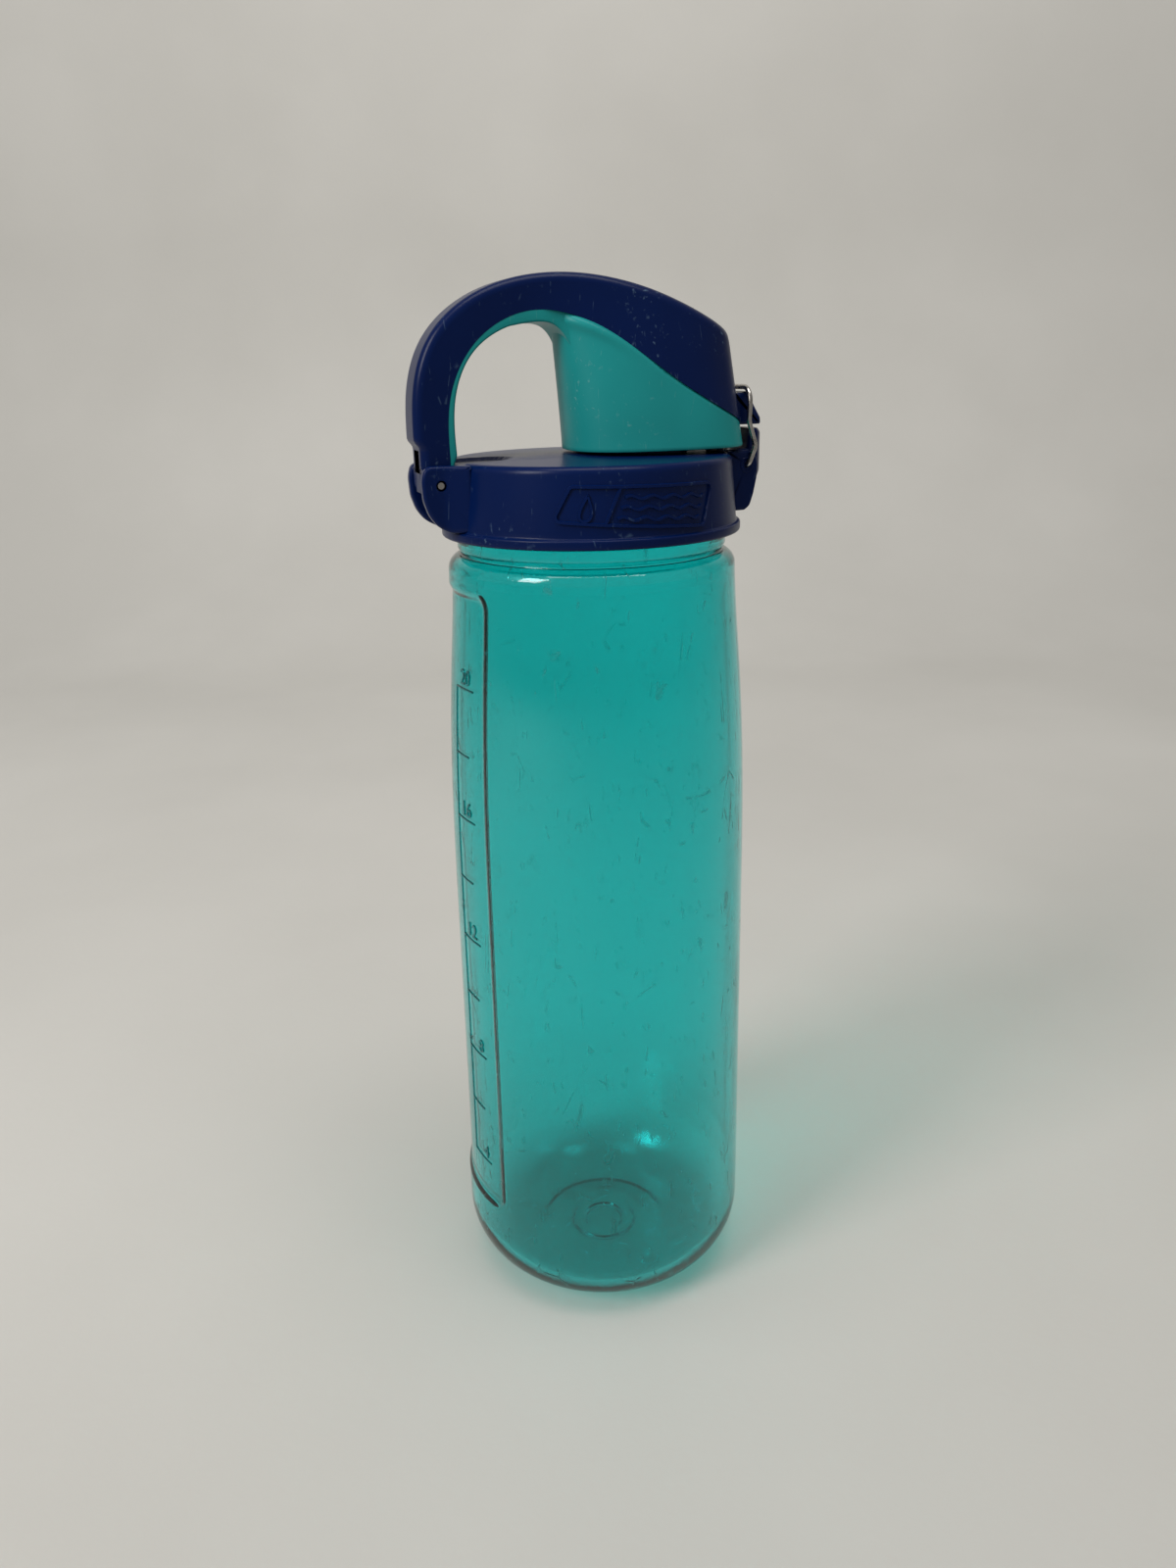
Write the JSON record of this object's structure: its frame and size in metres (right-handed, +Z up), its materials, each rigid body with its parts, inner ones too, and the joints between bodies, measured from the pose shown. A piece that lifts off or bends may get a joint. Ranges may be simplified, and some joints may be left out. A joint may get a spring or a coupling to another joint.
{
  "type": "flip-top water bottle",
  "caption": "Transparent screw-top drinking bottle with a spouted cap, a sprung flip-open hood that carries a finger loop, a push-button latch and a wire lock.",
  "frame": {"origin": "middle of the base, on the bottle's axis, at the surface it stands on", "axes": "+Z up along the bottle's axis, -X towards the hood's hinge, +X towards the latch, -Y towards the cap's framed panel"},
  "size_m": [0.0824, 0.0736, 0.2491],
  "materials": {
    "clear_teal": "transparent, glossy, finely scratched",
    "navy": "satin moulded",
    "teal": "satin moulded, opaque",
    "silicone": "matte",
    "steel": "drawn wire"
  },
  "bodies": {
    "bottle": {"bottle_body": "clear_teal"},
    "cap_lift": {"cap_seal": "silicone"},
    "cap": {"cap_shell": "navy", "spout": "teal", "hinge_pin": "steel", "hinge_spring": "steel", "latch_pin": "steel", "latch_spring": "steel"},
    "hood": {"cover_shell": "teal", "cover_grip": "navy", "spout_seal": "silicone"},
    "button": {"latch_button": "navy"},
    "bail": {"wire_bail": "steel"}
  },
  "joints": [
    {"name": "cap_rise", "type": "slide", "parent": "bottle", "child": "cap_lift", "axis": [0, 0, 1], "range_m": [0, 0.00563]},
    {"name": "cap_turn", "type": "hinge", "parent": "cap_lift", "child": "cap", "pos_m": [0, 0, 0.2], "axis": [0, 0, 1], "range_deg": [0, 450]},
    {"name": "hood_hinge", "type": "hinge", "parent": "cap", "child": "hood", "pos_m": [-0.036, 0, 0.2071], "axis": [0, -1, 0], "range_deg": [0, 150], "deforming": ["hinge_spring"]},
    {"name": "button_press", "type": "hinge", "parent": "cap", "child": "button", "pos_m": [0.036, 0, 0.2006], "axis": [0, -1, 0], "range_deg": [0, 5], "stiffness_Nm_per_rad": 0.5, "springref_deg": -2.86, "deforming": ["latch_spring"]},
    {"name": "bail_swing", "type": "hinge", "parent": "cap", "child": "bail", "pos_m": [0.0358, 0, 0.2082], "axis": [0, 1, 0], "range_deg": [0, 165]}
  ],
  "couplings": [
    {"joint": "cap_rise", "follows": "cap_turn", "m_per_rad": 0.0007162}
  ]
}
